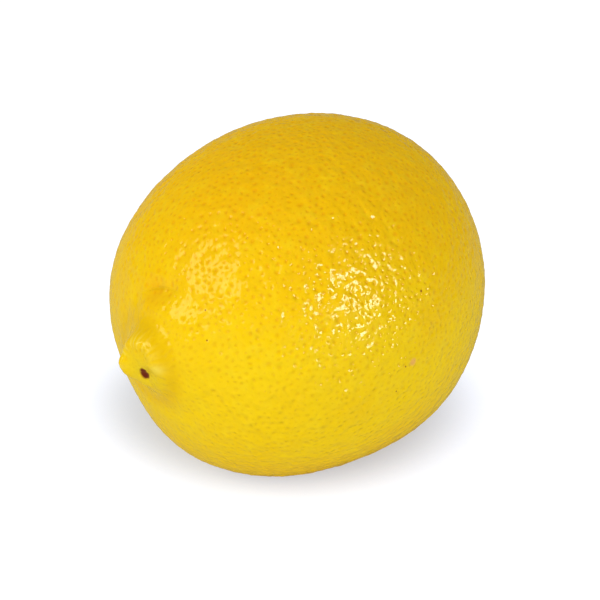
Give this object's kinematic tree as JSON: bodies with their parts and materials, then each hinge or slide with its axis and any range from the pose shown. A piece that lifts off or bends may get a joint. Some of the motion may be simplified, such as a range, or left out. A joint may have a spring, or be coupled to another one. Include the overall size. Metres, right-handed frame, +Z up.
{
  "type": "lemon",
  "caption": "Whole ripe lemon lying on its side, with a nippled blossom end and a dry stem button in a hollow at the other end.",
  "frame": {"origin": "middle of the bounding box at its base, on the surface that the lemon lies on", "axes": "+X along the lemon's long axis towards the stem end, so the blossom end with the nipple points to -X; +Y across the fruit; +Z up"},
  "size_m": [0.07, 0.0592, 0.0603],
  "materials": {
    "peel": "waxy yellow lemon peel with fine sunken oil glands, soft satin sheen",
    "stem_button": "dry brownish green stem button, dull and slightly rough"
  },
  "bodies": {
    "root": {"fruit": "peel", "stem_button": "stem_button"}
  },
  "joints": []
}
